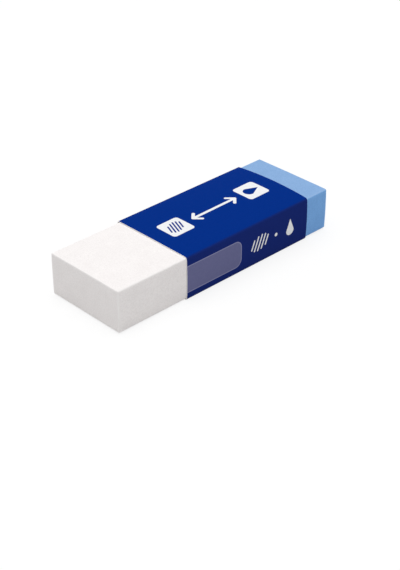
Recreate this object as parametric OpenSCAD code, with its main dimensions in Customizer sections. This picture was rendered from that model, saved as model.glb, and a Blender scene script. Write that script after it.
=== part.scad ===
// Rubber eraser: a block of two bonded compounds in a folded card sleeve.
// The white compound rubs out pencil and the pale blue one rubs out ink.
// Millimetres, +Z up, +X from the white end to the blue end.
// The origin is under the middle of the block, on the underside of the sleeve.

/* [Block] */
// Length of the white compound, from its free end to the bond
white_length = 43; // [40:0.5:60]
// Length of the blue compound, from the bond to its free end
blue_length = 22; // [16:0.5:40]
// Width of the block
block_width = 22; // [17:0.5:30]
// Height of the block
block_height = 10.4; // [7:0.1:16]
// Rounding along the four long edges
long_edge_radius = 0.4; // [0.2:0.1:1]
// Rounding around the two cut ends
end_edge_radius = 0.3; // [0.1:0.05:0.6]

/* [Sleeve] */
// Length of the sleeve along the block
sleeve_length = 38.5; // [25:0.1:45]
// Length of white that shows in front of the sleeve
white_showing = 19.4; // [5:0.1:26]
// Thickness of the card
card = 0.2; // [0.15:0.05:0.5]
// Clearance between the block and the card on each side
slide_gap = 0.05; // [0.05:0.05:0.3]
// Outward bow of the top panel between its folds
top_bow = 0.35; // [0.05:0.05:0.8]
// Outward bow of the front panel between its folds
front_bow = 0.35; // [0.05:0.05:0.6]
// Outward bow of the rear panel, which the glued flap stiffens
rear_bow = 0.1; // [0.05:0.05:0.6]
// Width of the flat strip that the card keeps beside each fold
fold_strip = 0.3; // [0.1:0.1:1]
// Height of the glued flap behind the rear panel, from its fold to its free edge
flap_height = 6; // [2:0.5:6]
// Distance from the rear lower fold up to the cut edge of the rear panel
seam_setback = 0.5; // [0.1:0.1:2]

/* [Hidden] */
$fn = 64;

// The block lies on the bottom panel, between the front panel and the glued flap.
block_length = white_length + blue_length;
block_floor = card + slide_gap;

// Each fold of the card runs round a long edge of the block with the same clearance.
fold_inside = long_edge_radius + slide_gap;
fold_outside = fold_inside + card;
front_y = block_width / 2 + slide_gap + card;
rear_y = front_y + card;
sleeve_height = block_floor + block_height + slide_gap + card;
lower_fold_z = fold_outside;
upper_fold_z = sleeve_height - fold_outside;

// A rectangle with all four corners rounded.
module rounded_section(width, height, radius) {
    translate([radius, 0]) square([width - 2 * radius, height]);
    translate([0, radius]) square([width, height - 2 * radius]);
    for (x = [radius, width - radius], y = [radius, height - radius])
        translate([x, y]) circle(radius);
}

// A rectangle with the two corners at its start rounded and its far end square.
module rounded_start(length, across, radius) {
    translate([radius, 0]) square([length - radius, across]);
    translate([0, radius]) square([length, across - 2 * radius]);
    for (y = [radius, across - radius])
        translate([radius, y]) circle(radius);
}

// One compound, from its rounded free end at X = 0 to its square bonded face.
module compound(length) {
    intersection() {
        translate([0, -block_width / 2, 0])
            rotate([90, 0, 90])
                linear_extrude(length)
                    rounded_section(block_width, block_height, long_edge_radius);
        translate([0, -block_width / 2, 0])
            linear_extrude(block_height)
                rounded_start(length, block_width, end_edge_radius);
        translate([0, block_width / 2, 0])
            rotate([90, 0, 0])
                linear_extrude(block_width)
                    rounded_start(length, block_height, end_edge_radius);
    }
}

module white_compound() {
    color([0.97, 0.96, 0.95])
        translate([-block_length / 2, 0, block_floor])
            compound(white_length);
}

module blue_compound() {
    color([0.55, 0.69, 0.87])
        translate([block_length / 2, 0, block_floor])
            mirror([1, 0, 0])
                compound(blue_length);
}

// The area under an arc that stands on a chord along X, centred on X = 0.
// It reaches below the chord, so that it runs into the area that it stands on.
module bow(chord, rise) {
    arc_radius = (chord * chord / 4 + rise * rise) / (2 * rise);
    foot = chord + fold_strip;
    intersection() {
        translate([0, rise - arc_radius]) circle(arc_radius);
        translate([-foot / 2, -card]) square([foot, card + 2 * rise]);
    }
}

// The outward bow of a side panel, from fold to fold, standing on a face at Y = 0.
module side_bow(rise) {
    translate([0, (lower_fold_z + upper_fold_z) / 2])
        rotate(270) bow(upper_fold_z - lower_fold_z - 2 * fold_strip, rise);
}

// The area within one face of the wrapped card, inset from the card's outer face.
// The rear panel stands outside the flap, and reaches down to rear_end only.
module within_wrap(inset, rear_end) {
    front_face = front_y - inset;
    rear_face = rear_y - inset;
    top_face = sleeve_height - inset;
    radius = fold_outside - inset;
    translate([-front_face, inset])
        rounded_section(2 * front_face, top_face - inset, radius);
    translate([0, top_face])
        rotate(270) rounded_start(top_face - rear_end, rear_face, radius);
    translate([0, top_face])
        bow(2 * (front_y - fold_outside - fold_strip), top_bow);
    mirror([1, 0])
        translate([front_face, 0]) side_bow(front_bow);
    translate([front_face, 0]) side_bow(rear_bow);
    intersection() {
        translate([rear_face, 0]) side_bow(rear_bow);
        translate([0, rear_end]) square([2 * rear_y, sleeve_height]);
    }
}

// The card wrapped once round the block, with its rear panel glued over the flap.
module wrapped_card() {
    difference() {
        within_wrap(0, lower_fold_z + seam_setback);
        within_wrap(card, lower_fold_z + flap_height);
    }
}

module sleeve() {
    color([0.04, 0.19, 0.53])
        translate([white_showing - block_length / 2, 0, 0])
            rotate([90, 0, 90])
                linear_extrude(sleeve_length)
                    wrapped_card();
}

white_compound();
blue_compound();
sleeve();
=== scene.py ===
import math

import bmesh
import bpy
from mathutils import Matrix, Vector, noise


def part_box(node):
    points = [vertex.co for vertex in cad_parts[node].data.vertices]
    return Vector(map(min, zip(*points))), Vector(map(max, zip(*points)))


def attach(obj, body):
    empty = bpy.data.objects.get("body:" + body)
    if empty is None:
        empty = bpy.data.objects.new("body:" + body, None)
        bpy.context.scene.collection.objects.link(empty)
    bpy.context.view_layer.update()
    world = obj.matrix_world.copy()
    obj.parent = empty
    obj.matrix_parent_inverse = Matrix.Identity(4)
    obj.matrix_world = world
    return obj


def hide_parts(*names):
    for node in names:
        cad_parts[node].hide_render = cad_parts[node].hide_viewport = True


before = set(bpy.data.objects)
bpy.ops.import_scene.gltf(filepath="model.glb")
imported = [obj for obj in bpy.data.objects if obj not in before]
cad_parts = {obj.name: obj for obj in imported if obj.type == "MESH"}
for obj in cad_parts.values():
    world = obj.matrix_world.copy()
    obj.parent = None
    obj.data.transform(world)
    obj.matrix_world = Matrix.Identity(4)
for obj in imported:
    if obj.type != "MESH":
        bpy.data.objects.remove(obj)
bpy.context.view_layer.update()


# White compound: the long, soft end of the block, which rubs out pencil.
# It is moulded in bars with slightly rounded long edges, and sliced square at its free end.
# Its other end is bonded to the blue compound, out of sight under the sleeve.
long_edge_radius = 0.0004
end_edge_radius = 0.0003
rounding_segments = 5
grid_step = 0.0011
crown_height = 0.00006
side_fullness = 0.0001
sink_depth = 0.00003
sink_width = 0.0045
same_place = 0.000001
sharp_angle = math.radians(40)

white_low, white_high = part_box("white_compound")
blue_low, blue_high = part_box("blue_compound")
bond_x = white_high.x


def round_edges(bm, edges, radius):
    """Rounds these edges of the mesh."""
    bmesh.ops.bevel(bm, geom=edges, offset=radius, offset_type="OFFSET", affect="EDGES",
                    segments=rounding_segments, profile=0.5, material=-1)


def cut_across(bm, axis, places):
    """Cuts the whole mesh square to one axis at each place along it."""
    normal = Vector((0, 0, 0))
    normal[axis] = 1
    for place in places:
        everything = bm.verts[:] + bm.edges[:] + bm.faces[:]
        bmesh.ops.bisect_plane(bm, geom=everything, plane_co=normal * place, plane_no=normal)


def steps_between(low, high, step):
    """Evenly spaced places between low and high, about one step apart."""
    count = round((high - low) / step)
    return [low + (high - low) * i / count for i in range(1, count)]


def sink_share(place):
    """How far the rubber sinks in at a place, from 0 to 1, in soft hollows."""
    dimension, lacunarity, octaves = 1, 2, 3
    middle, contrast = 0.5, 0.6
    hollow = noise.fractal(place / sink_width, dimension, lacunarity, octaves)
    return min(max(middle + contrast * hollow, 0), 1)


def compound_bar(node_name, free_x):
    """A moulded bar in the node's place, with rounded long edges and a cut end at free_x."""
    low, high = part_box(node_name)
    middle = (low + high) / 2
    half = (high - low) / 2
    bm = bmesh.new()
    bmesh.ops.create_cube(bm, size=1)
    bmesh.ops.scale(bm, vec=high - low, verts=bm.verts)
    bmesh.ops.translate(bm, vec=middle, verts=bm.verts)
    long_edges = [e for e in bm.edges if abs(e.verts[0].co.x - e.verts[1].co.x) > same_place]
    round_edges(bm, long_edges, long_edge_radius)
    end_edges = [e for e in bm.edges if all(abs(v.co.x - free_x) < same_place for v in e.verts)]
    round_edges(bm, end_edges, end_edge_radius)
    for axis in range(3):
        cut_across(bm, axis, steps_between(low[axis], high[axis], grid_step))
    bm.normal_update()
    for v in bm.verts:
        across = (v.co.y - middle.y) / half.y
        up = (v.co.z - middle.z) / half.z
        v.co.y += side_fullness * across * (1 - up ** 2)
        v.co.z += crown_height * max(up, 0) * (1 - across ** 2)
        sink = v.normal * sink_depth * sink_share(v.co)
        if abs(v.co.x - bond_x) < same_place:
            sink.x = 0
        v.co -= sink
    return bm


def piece(name, bm, materials):
    """A finished piece with smooth faces and crisp corners."""
    for face in bm.faces:
        face.smooth = True
    mesh = bpy.data.meshes.new(name)
    bm.to_mesh(mesh)
    bm.free()
    for material in materials:
        mesh.materials.append(material)
    mesh.set_sharp_from_angle(angle=sharp_angle)
    made = bpy.data.objects.new(name, mesh)
    bpy.context.scene.collection.objects.link(made)
    return made


def node(tree, kind, inputs, **settings):
    """Adds a node with these settings, and sets each input to a value or links a socket to it."""
    made = tree.nodes.new(kind)
    for label, value in settings.items():
        setattr(made, label, value)
    for label, value in inputs.items():
        if isinstance(value, bpy.types.NodeSocket):
            tree.links.new(value, made.inputs[label])
        else:
            made.inputs[label].default_value = value
    return made


def calculate(tree, operation, *values):
    """The result of one sum on numbers."""
    return node(tree, "ShaderNodeMath", dict(enumerate(values)), operation=operation).outputs[0]


def vector_sum(tree, operation, *values):
    """The result of one sum on vectors, which is a number for a length or a dot product."""
    made = node(tree, "ShaderNodeVectorMath", dict(enumerate(values)), operation=operation)
    return made.outputs["Value" if operation in ("LENGTH", "DOT_PRODUCT") else "Vector"]


def ramp(tree, value, start, end):
    """Runs smoothly from 0 where value is at start to 1 where it is at end."""
    inputs = {"Value": value, "From Min": start, "From Max": end}
    return node(tree, "ShaderNodeMapRange", inputs, interpolation_type="SMOOTHSTEP").outputs[0]


def mix(tree, share, first, second, blend="MIX"):
    """The first colour, with a share of the second mixed in or multiplied into it."""
    inputs = {0: share, 6: first, 7: second}
    return node(tree, "ShaderNodeMix", inputs, data_type="RGBA", blend_type=blend).outputs[2]


def noise_at(tree, place, scale, detail):
    """Cloudy noise with a number of features per millimetre, from 0 to 1."""
    inputs = {"Vector": place, "Scale": scale, "Detail": detail, "Roughness": 0.6}
    return node(tree, "ShaderNodeTexNoise", inputs).outputs[0]


def new_group(name, inputs, outputs):
    """An empty node group, with the sockets that bring its inputs in and take its outputs out."""
    group = bpy.data.node_groups.new(name, "ShaderNodeTree")
    for label, kind in inputs.items():
        group.interface.new_socket(label, in_out="INPUT", socket_type="NodeSocket" + kind)
    for label in outputs:
        group.interface.new_socket(label, in_out="OUTPUT", socket_type="NodeSocketFloat")
    brought_in = group.nodes.new("NodeGroupInput").outputs
    taken_out = group.nodes.new("NodeGroupOutput").inputs
    return group, brought_in, taken_out


def use_group(tree, group, **inputs):
    """Places a node group in a material and gives its outputs."""
    return node(tree, "ShaderNodeGroup", inputs, node_tree=group).outputs


millimetres = 1000


def new_material(name):
    """An empty material, its tree, its Principled shader and the place on the object in mm."""
    material = bpy.data.materials.new(name)
    material.use_nodes = True
    tree = material.node_tree
    tree.nodes.clear()
    shader = tree.nodes.new("ShaderNodeBsdfPrincipled")
    output = tree.nodes.new("ShaderNodeOutputMaterial")
    tree.links.new(shader.outputs[0], output.inputs["Surface"])
    metres = tree.nodes.new("ShaderNodeTexCoord").outputs["Object"]
    to_millimetres = {"Vector": metres, "Scale": (millimetres,) * 3}
    place = node(tree, "ShaderNodeMapping", to_millimetres).outputs[0]
    return material, tree, shader, place


def roughen(tree, shader, value, base, spread):
    """Sets a roughness that rises from base by spread as value goes from 0 to 1."""
    roughness = calculate(tree, "MULTIPLY_ADD", value, spread, base)
    tree.links.new(roughness, shader.inputs["Roughness"])


def add_bump(tree, shader, height, depth):
    """Raises the surface by depth, in metres, where height is 1."""
    bump = node(tree, "ShaderNodeBump", {"Height": height, "Distance": depth})
    tree.links.new(bump.outputs[0], shader.inputs["Normal"])


# The grain of filled rubber: cloudy tone, fine grain, small pits and faint marks of the knife.
# The knife's marks are drawn out upwards, and scales are in features per millimetre.
pit_scale = 0.9
grain_share = 0.75
knife_height = 0.5
knife_stretch = (1, 1, 0.12)
rubber_grain, grain_in, grain_out = new_group(
    "rubber_grain", {"Place": "Vector"}, ["Tone", "Pits", "Height"])
clouds = noise_at(rubber_grain, grain_in["Place"], scale=0.3, detail=2)
fine_grain = noise_at(rubber_grain, grain_in["Place"], scale=3.2, detail=3)
drawn_out = vector_sum(rubber_grain, "MULTIPLY", grain_in["Place"], knife_stretch)
knife_marks = noise_at(rubber_grain, drawn_out, scale=1.6, detail=2)
pit_cells = node(rubber_grain, "ShaderNodeTexVoronoi",
                 {"Vector": grain_in["Place"], "Scale": pit_scale})
pits = ramp(rubber_grain, pit_cells.outputs["Distance"], start=0.13, end=0.06)
cloud_tone = calculate(rubber_grain, "MULTIPLY", clouds, 1 - grain_share)
tone = calculate(rubber_grain, "MULTIPLY_ADD", fine_grain, grain_share, cloud_tone)
relief = calculate(rubber_grain, "MULTIPLY_ADD", knife_marks, knife_height, fine_grain)
rubber_grain.links.new(tone, grain_out["Tone"])
rubber_grain.links.new(pits, grain_out["Pits"])
rubber_grain.links.new(calculate(rubber_grain, "SUBTRACT", relief, pits), grain_out["Height"])

# A painted highlight along the edges of a box: how near each point of its faces lies to the
# nearest edge.
# Of its three distances past the faces, along the axes, that is the second largest.
painted_edge_highlight, edge_in, edge_out = new_group(
    "painted_edge_highlight", {"Place": "Vector", "Centre": "Vector", "Half": "Vector", "Width": "Float"},
    ["Mask"])
from_centre = vector_sum(painted_edge_highlight, "SUBTRACT", edge_in["Place"], edge_in["Centre"])
outward = vector_sum(painted_edge_highlight, "ABSOLUTE", from_centre)
past_faces = vector_sum(painted_edge_highlight, "SUBTRACT", outward, edge_in["Half"])
past = node(painted_edge_highlight, "ShaderNodeSeparateXYZ", {0: past_faces}).outputs
larger = calculate(painted_edge_highlight, "MAXIMUM", past[0], past[1])
smaller = calculate(painted_edge_highlight, "MINIMUM", past[0], past[1])
lesser_two = calculate(painted_edge_highlight, "MINIMUM", larger, past[2])
second_largest = calculate(painted_edge_highlight, "MAXIMUM", smaller, lesser_two)
wear_limit = calculate(painted_edge_highlight, "MULTIPLY", edge_in["Width"], -1)
painted_edge_highlight.links.new(ramp(painted_edge_highlight, second_largest, wear_limit, 0), edge_out["Mask"])

block_centre = (white_low + blue_high) / 2 * millimetres
block_half = (blue_high - white_low) / 2 * millimetres
# Width in mm of the painted highlight along the edges of the block.
edge_highlight_width = 0.55
pit_shade = 0.35
# Painted shade: the flanks of both compounds, below the top and above the underside, get a tint
# multiplied in.
flank_shade_start = block_half.z - 0.08
flank_shade_end = block_half.z - 0.25
rubber_gloss = 0.2


def rubber(name, deep, pale, edge_highlight, flank_painted_shade, grain_depth):
    """A matt compound of deep to pale tone, with painted flank shade and painted edge highlights.
    """
    material, tree, shader, place = new_material(name)
    grain = use_group(tree, rubber_grain, Place=place)
    edges = use_group(tree, painted_edge_highlight, Place=place, Centre=block_centre, Half=block_half,
                      Width=edge_highlight_width)
    body = mix(tree, ramp(tree, grain["Tone"], start=0.36, end=0.64), deep, pale)
    pitted = mix(tree, calculate(tree, "MULTIPLY", grain["Pits"], pit_shade), body, deep)
    # Painted highlight: the colour turns paler along the edges.
    highlighted = mix(tree, edges["Mask"], pitted, edge_highlight)
    off_centre = vector_sum(tree, "SUBTRACT", place, block_centre)
    height = calculate(tree, "ABSOLUTE", vector_sum(tree, "DOT_PRODUCT", off_centre, (0, 0, 1)))
    painted_shade_on_flank = ramp(tree, height, flank_shade_start, flank_shade_end)
    # Painted shade: the flank tint is multiplied into the colour of the sides and ends.
    tree.links.new(mix(tree, painted_shade_on_flank, highlighted, flank_painted_shade, "MULTIPLY"), shader.inputs["Base Color"])
    roughen(tree, shader, grain["Tone"], base=0.68, spread=0.2)
    shader.inputs["Specular IOR Level"].default_value = rubber_gloss
    add_bump(tree, shader, grain["Height"], grain_depth)
    return material


white_deep = (0.872, 0.837, 0.829, 1)
white_pale = (0.938, 0.906, 0.897, 1)
white_edge_highlight = (0.940, 0.912, 0.904, 1)
# No painted shade on the white flanks.
white_flank_painted_shade = (1, 1, 1, 1)
white_grain_depth = 0.00004
white_rubber = rubber("white_rubber", white_deep, white_pale, white_edge_highlight, white_flank_painted_shade,
                      white_grain_depth)
white_bar = piece("white_rubber_bar", compound_bar("white_compound", white_low.x), [white_rubber])
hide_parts("white_compound")
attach(white_bar, "block")


# Blue compound: the short, harder end of the block, which rubs out ink.
# It is a pale blue rubber with a fine abrasive in it, moulded to the same section as the white.
# The two are bonded face to face, and cut to length together.
blue_deep = (0.220, 0.383, 0.655, 1)
blue_pale = (0.258, 0.432, 0.715, 1)
blue_edge_highlight = (0.310, 0.485, 0.760, 1)
# Painted shade on the blue flanks: less red and more blue than the top, standing in for how the
# sides are lit.
blue_flank_painted_shade = (0.78, 0.99, 1.12, 1)
blue_grain_depth = 0.00004
blue_rubber = rubber("blue_rubber", blue_deep, blue_pale, blue_edge_highlight, blue_flank_painted_shade,
                     blue_grain_depth)
blue_bar = piece("blue_rubber_bar", compound_bar("blue_compound", blue_high.x), [blue_rubber])
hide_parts("blue_compound")
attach(blue_bar, "block")


# Sleeve: one strip of thin card, printed on its outer face and left white inside.
# It is folded round the block at four soft folds, and its rear panel is glued over a flap.
# The loose wrap lets its panels bow outwards, and it slides along the block.
card = 0.0002
slide_gap = 0.00005
glue_line = 0.00001
fold_radius = long_edge_radius + slide_gap + card
seam_setback = 0.0005
flap_height = 0.006
panel_step = 0.0014
top_bow_near, top_bow_far = 0.00006, 0.00055
front_bow_near, front_bow_far = 0.0001, 0.00015
rear_bow = 0.0001

sleeve_low, sleeve_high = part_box("sleeve")
sleeve_length = sleeve_high.x - sleeve_low.x
front_y = white_high.y + slide_gap + card
rear_y = front_y + card
flap_y = front_y - glue_line
top_z = white_high.z + slide_gap + card
seam_z = fold_radius + seam_setback
flap_z = fold_radius + flap_height
fold_y = front_y - fold_radius
side_middle = top_z / 2
side_reach = top_z / 2 - fold_radius


def wrapped_card():
    """The card's outer face, from the edge of the rear panel round to the edge of the flap."""
    turns = [(rear_y, seam_z), (rear_y, top_z), (-front_y, top_z), (-front_y, 0),
             (flap_y, 0), (flap_y, flap_z)]
    bm = bmesh.new()
    chain = [bm.verts.new((sleeve_low.x, y, z)) for y, z in turns]
    strip = [bm.edges.new(pair) for pair in zip(chain, chain[1:])]
    far = bmesh.ops.extrude_edge_only(bm, edges=strip)["geom"]
    far_corners = [v for v in far if isinstance(v, bmesh.types.BMVert)]
    bmesh.ops.translate(bm, vec=(sleeve_length, 0, 0), verts=far_corners)
    folds = [e for e in bm.edges if len(e.link_faces) == 2]
    round_edges(bm, folds, fold_radius)
    cut_across(bm, 0, steps_between(sleeve_low.x, sleeve_high.x, panel_step))
    cut_across(bm, 1, steps_between(-fold_y, fold_y, panel_step))
    cut_across(bm, 2, steps_between(fold_radius, top_z - fold_radius, panel_step))
    for v in bm.verts:
        along = (v.co.x - sleeve_low.x) / sleeve_length
        across = v.co.y / fold_y
        up = (v.co.z - side_middle) / side_reach
        if v.co.z > top_z - same_place and abs(across) < 1:
            top_bow = top_bow_near + (top_bow_far - top_bow_near) * along
            v.co.z += top_bow * (1 - across ** 2)
        elif v.co.y < -front_y + same_place and abs(up) < 1:
            front_bow = front_bow_near + (front_bow_far - front_bow_near) * along
            v.co.y -= front_bow * (1 - up ** 2)
        elif v.co.y > flap_y - same_place and abs(up) < 1:
            v.co.y += rear_bow * (1 - up ** 2)
    bmesh.ops.recalc_face_normals(bm, faces=bm.faces)
    return bm


# A printed field: a rectangle with round corners, in millimetres as all of the print is.
ink_blur = 0.03
print_field, field_in, field_out = new_group(
    "print_field", {"Place": "Vector", "Centre": "Vector", "Half": "Vector", "Corner": "Float"},
    ["Mask"])
from_middle = vector_sum(print_field, "SUBTRACT", field_in["Place"], field_in["Centre"])
beside_middle = vector_sum(print_field, "ABSOLUTE", from_middle)
straight = vector_sum(print_field, "SUBTRACT", field_in["Half"], field_in["Corner"])
past_straight = vector_sum(print_field, "SUBTRACT", beside_middle, straight)
in_corner = vector_sum(print_field, "MAXIMUM", past_straight, (0, 0, 0))
corner_distance = vector_sum(print_field, "LENGTH", in_corner)
past_field = calculate(print_field, "SUBTRACT", corner_distance, field_in["Corner"])
print_field.links.new(ramp(print_field, past_field, ink_blur, -ink_blur), field_out["Mask"])

# A printed stroke with round ends, which can taper from its start to its end.
print_stroke, stroke_in, stroke_out = new_group(
    "print_stroke", {"Place": "Vector", "Start": "Vector", "Run": "Vector", "Thick": "Float",
                     "Thin": "Float"}, ["Mask"])
from_start = vector_sum(print_stroke, "SUBTRACT", stroke_in["Place"], stroke_in["Start"])
run_squared = vector_sum(print_stroke, "DOT_PRODUCT", stroke_in["Run"], stroke_in["Run"])
run_covered = vector_sum(print_stroke, "DOT_PRODUCT", from_start, stroke_in["Run"])
run_share = calculate(print_stroke, "DIVIDE", run_covered, run_squared)
along_run = node(print_stroke, "ShaderNodeClamp", {"Value": run_share}).outputs[0]
nearest = vector_sum(print_stroke, "MULTIPLY", stroke_in["Run"], along_run)
aside = vector_sum(print_stroke, "SUBTRACT", from_start, nearest)
line_distance = vector_sum(print_stroke, "LENGTH", aside)
taper = calculate(print_stroke, "SUBTRACT", stroke_in["Thin"], stroke_in["Thick"])
half_width = calculate(print_stroke, "MULTIPLY_ADD", along_run, taper, stroke_in["Thick"])
past_stroke = calculate(print_stroke, "SUBTRACT", line_distance, half_width)
print_stroke.links.new(ramp(print_stroke, past_stroke, ink_blur, -ink_blur), stroke_out["Mask"])


def together(tree, masks):
    """All of these masks as one."""
    joined = masks[0]
    for mask in masks[1:]:
        joined = calculate(tree, "MAXIMUM", joined, mask)
    return joined


def field(tree, place, centre, half, corner):
    """The mask of one printed field."""
    return use_group(tree, print_field, Place=place, Centre=(*centre, 0), Half=(*half, 2 * corner),
                     Corner=corner)["Mask"]


def stroke(tree, place, start, end, thick, thin):
    """The mask of one printed stroke, with half its width at its start and at its end."""
    run = (end[0] - start[0], end[1] - start[1], 0)
    return use_group(tree, print_stroke, Place=place, Start=(*start, 0), Run=run, Thick=thick,
                     Thin=thin)["Mask"]


def hatching(tree, place, centre, reach, height, thick):
    """A patch of pencil shading: five slanted strokes round its centre, the outer ones shorter."""
    slant = 0.4
    shortening = 0.1
    lines = []
    for i in (-2, -1, 0, 1, 2):
        middle = centre[0] + reach * i / 2
        half = height * (1 - shortening * i ** 2)
        lean = slant * half
        lines.append(((middle - lean, centre[1] - half), (middle + lean, centre[1] + half)))
    return together(tree, [stroke(tree, place, a, b, thick, thick) for a, b in lines])


drop_setback = 0.7


def drop(tree, place, centre, towards, round_end):
    """A drop of ink: a stroke from the centre of its round end to a point."""
    point = 0.05
    tip = (centre[0] + towards[0], centre[1] + towards[1])
    return stroke(tree, place, centre, tip, round_end, point)


def two_way_arrow(tree, place, left, right, barb, thick):
    """A line along the middle of the panel, with an arrowhead at both ends."""
    lines = [((left, 0), (right, 0))]
    for tip, inward in ((left, barb), (right, -barb)):
        lines += [((tip, 0), (tip + inward, side)) for side in (barb, -barb)]
    return together(tree, [stroke(tree, place, a, b, thick, thick) for a, b in lines])


def top_print(tree, place):
    """Two white tiles with a sign knocked out of each, and an arrow from one to the other."""
    tile_inset = 7.2
    tile_half = 3.2
    arrow_gap = 2.2
    arrow_inset = tile_half + arrow_gap
    near = sleeve_low.x * millimetres + tile_inset
    far = sleeve_high.x * millimetres - tile_inset
    tiles = [field(tree, place, (x, 0), (tile_half, tile_half), corner=0.8) for x in (near, far)]
    signs = [hatching(tree, place, (near, 0), reach=1.7, height=1.9, thick=0.2),
             drop(tree, place, (far - drop_setback, 0), towards=(2.9, 0), round_end=1.45)]
    arrow = two_way_arrow(tree, place, near + arrow_inset, far - arrow_inset, barb=1.5, thick=0.38)
    knocked_out = calculate(tree, "SUBTRACT", together(tree, tiles), together(tree, signs))
    return together(tree, [knocked_out, arrow])


def front_print(tree, place):
    """The same two signs in a row, with a dot between them."""
    row = 5.5
    hatching_x, dot_x, drop_x = 9.6, 14.9, 19.6
    dot = 0.45
    return together(tree, [
        hatching(tree, place, (hatching_x, row), reach=2.2, height=1.8, thick=0.2),
        field(tree, place, (dot_x, row), (dot, dot), corner=dot),
        drop(tree, place, (drop_x, row - drop_setback), towards=(0, 2.9), round_end=1.25)])


def tab_print(tree, place):
    """The tab that runs in from the near edge: the whole of it, and the part within its rim."""
    length, right_end = 24, 3.7
    foot, head = 1.9, 8.68
    corner, rim = 1.9, 0.22
    half = (length / 2, (head - foot) / 2)
    middle = (right_end - half[0], (head + foot) / 2)
    return (field(tree, place, middle, half, corner),
            field(tree, place, middle, (half[0] - rim, half[1] - rim), corner - rim))


blue_ink = (0.0012, 0.0280, 0.2330, 1)
# Painted shade: the side panels and the folds' edges are navy, darker than the top's blue, for how
# the sides are lit.
navy_painted_shade = (0.0103, 0.0238, 0.1610, 1)
violet_ink = (0.152, 0.156, 0.300, 1)
violet_rim = (0.262, 0.266, 0.430, 1)
bare_white = (0.880, 0.880, 0.890, 1)
ink_grain = (0.93, 0.95, 0.96, 1)
ink_gloss = 0.004
ink_grain_depth = 0.000006


def printed_card():
    """Matt print: a bright blue top and underside, and white and violet motifs; the navy of the
    sides is painted shade.
    """
    material, tree, shader, place = new_material("printed_card")
    at = node(tree, "ShaderNodeSeparateXYZ", {0: place}).outputs
    on_plan = node(tree, "ShaderNodeCombineXYZ", {0: at[0], 1: at[1]}).outputs[0]
    on_side = node(tree, "ShaderNodeCombineXYZ", {0: at[0], 1: at[2]}).outputs[0]
    top_edge = top_z * millimetres
    side_edge = front_y * millimetres
    painted_shade_fade = 0.55
    panel_start, panel_end = 0.4, 0.15
    off_middle = calculate(tree, "ABSOLUTE", at[1])
    clear_of_painted_shade = ramp(tree, off_middle, side_edge, side_edge - painted_shade_fade)
    on_top = ramp(tree, at[2], top_edge - panel_start, top_edge - panel_end)
    on_front = ramp(tree, at[1], panel_start - side_edge, panel_end - side_edge)

    white_on_top = calculate(tree, "MULTIPLY", top_print(tree, on_plan), on_top)
    white_on_front = calculate(tree, "MULTIPLY", front_print(tree, on_side), on_front)
    whole_tab, tab_inside = tab_print(tree, on_side)
    tab = calculate(tree, "MULTIPLY", whole_tab, on_front)
    # Painted shade: navy on the sides, fading into the blue across the folds.
    ink_and_painted_shade = mix(tree, clear_of_painted_shade, navy_painted_shade, blue_ink)
    ink_and_painted_shade = mix(tree, tab, ink_and_painted_shade, mix(tree, tab_inside, violet_rim, violet_ink))
    ink_and_painted_shade = mix(tree, together(tree, [white_on_top, white_on_front]), ink_and_painted_shade, bare_white)
    fibres = noise_at(tree, place, scale=2.5, detail=3)
    fibre_shade = ramp(tree, fibres, start=0.35, end=0.65)
    grained = mix(tree, fibre_shade, ink_and_painted_shade, ink_grain, "MULTIPLY")
    tree.links.new(grained, shader.inputs["Base Color"])
    roughen(tree, shader, fibres, base=0.35, spread=0.25)
    shader.inputs["Specular IOR Level"].default_value = ink_gloss
    add_bump(tree, shader, fibres, ink_grain_depth)
    return material


card_deep = (0.93, 0.925, 0.92, 1)
card_pale = (0.98, 0.975, 0.97, 1)
card_gloss = 0.1
card_grain_depth = 0.00001


def raw_card():
    """The white, uncoated card at the cut edges and inside."""
    material, tree, shader, place = new_material("raw_card")
    fibres = noise_at(tree, place, scale=4, detail=4)
    white = mix(tree, ramp(tree, fibres, start=0.3, end=0.7), card_deep, card_pale)
    tree.links.new(white, shader.inputs["Base Color"])
    roughen(tree, shader, fibres, base=0.8, spread=0.15)
    shader.inputs["Specular IOR Level"].default_value = card_gloss
    add_bump(tree, shader, fibres, card_grain_depth)
    return material


sleeve = piece("card_sleeve", wrapped_card(), [printed_card(), raw_card()])
thickness = sleeve.modifiers.new("thickness", "SOLIDIFY")
thickness.thickness = card
thickness.offset = -1
thickness.use_even_offset = True
thickness.material_offset = 1
thickness.material_offset_rim = 1
thickened = sleeve.evaluated_get(bpy.context.evaluated_depsgraph_get())
solid_card = bpy.data.meshes.new_from_object(thickened)
sleeve.modifiers.clear()
sleeve.data = solid_card
solid_card.set_sharp_from_angle(angle=sharp_angle)
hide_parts("sleeve")
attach(sleeve, "sleeve")


# Studio: a pale floor, even light from all round and a broad soft light overhead.
# The floor and the surroundings look white, and the floor keeps the soft shadow of the eraser.
floor_size = 1.5
floor_drop = 0.00002
floor_grey = 0.75
floor_glow = 0.8
surround_level = 0.48
overhead_level = 1.82
overhead_spread = math.radians(70)


def seen_directly(tree):
    """1 for what the camera sees, also in a reflection or through glass, and 0 for other light."""
    rays = tree.nodes.new("ShaderNodeLightPath").outputs
    seen = ("Is Camera Ray", "Is Glossy Ray", "Is Transmission Ray")
    return together(tree, [rays[label] for label in seen])


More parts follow.
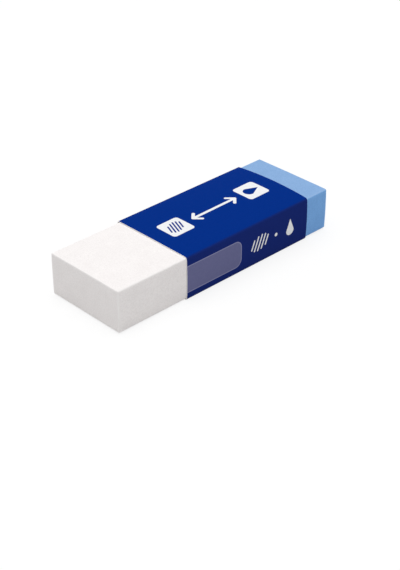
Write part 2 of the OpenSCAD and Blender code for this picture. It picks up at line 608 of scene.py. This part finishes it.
floor_material = bpy.data.materials.new("floor")
floor_material.use_nodes = True
floor_tree = floor_material.node_tree
floor_tree.nodes.clear()
floor_seen = seen_directly(floor_tree)
seen_grey = 1 - floor_glow
shade = calculate(floor_tree, "MULTIPLY_ADD", floor_seen, seen_grey - floor_grey, floor_grey)
matt = node(floor_tree, "ShaderNodeBsdfDiffuse", {"Color": shade})
glow_level = calculate(floor_tree, "MULTIPLY", floor_seen, floor_glow)
glow = node(floor_tree, "ShaderNodeEmission", {"Strength": glow_level})
lit_floor = node(floor_tree, "ShaderNodeAddShader", {0: matt.outputs[0], 1: glow.outputs[0]})
node(floor_tree, "ShaderNodeOutputMaterial", {"Surface": lit_floor.outputs[0]})

floor_mesh = bmesh.new()
bmesh.ops.create_grid(floor_mesh, x_segments=1, y_segments=1, size=floor_size)
bmesh.ops.translate(floor_mesh, vec=(0, 0, -floor_drop), verts=floor_mesh.verts)
floor = piece("floor", floor_mesh, [floor_material])

world = bpy.data.worlds.new("surroundings")
world.use_nodes = True
bpy.context.scene.world = world
world_tree = world.node_tree
world_tree.nodes.clear()
world_seen = seen_directly(world_tree)
level = calculate(world_tree, "MULTIPLY_ADD", world_seen, 1 - surround_level, surround_level)
surround = node(world_tree, "ShaderNodeBackground", {"Color": (1, 1, 1, 1), "Strength": level})
node(world_tree, "ShaderNodeOutputWorld", {"Surface": surround.outputs[0]})

overhead = bpy.data.lights.new("overhead", "SUN")
overhead.energy = overhead_level
overhead.angle = overhead_spread
bpy.context.scene.collection.objects.link(bpy.data.objects.new("overhead", overhead))


# Camera: looks down on the white end and the front side, at the angle of the photograph.
# Its place and its lens are fitted to the edges of the block and the sleeve.
view_azimuth = math.radians(-44.004)
view_elevation = math.radians(32.146)
view_distance = 0.297782
view_lens = 81.837
aim = Vector((-0.001261, -0.003040, -0.004873))
back = Vector((math.sin(view_azimuth) * math.cos(view_elevation),
               -math.cos(view_azimuth) * math.cos(view_elevation),
               math.sin(view_elevation)))
camera_data = bpy.data.cameras.new("camera")
camera_data.lens = view_lens
camera = bpy.data.objects.new("camera", camera_data)
camera.location = aim + back * view_distance
camera.rotation_euler = back.to_track_quat("Z", "Y").to_euler()
bpy.context.scene.collection.objects.link(camera)
bpy.context.scene.camera = camera
bpy.context.scene.view_settings.view_transform = "Standard"
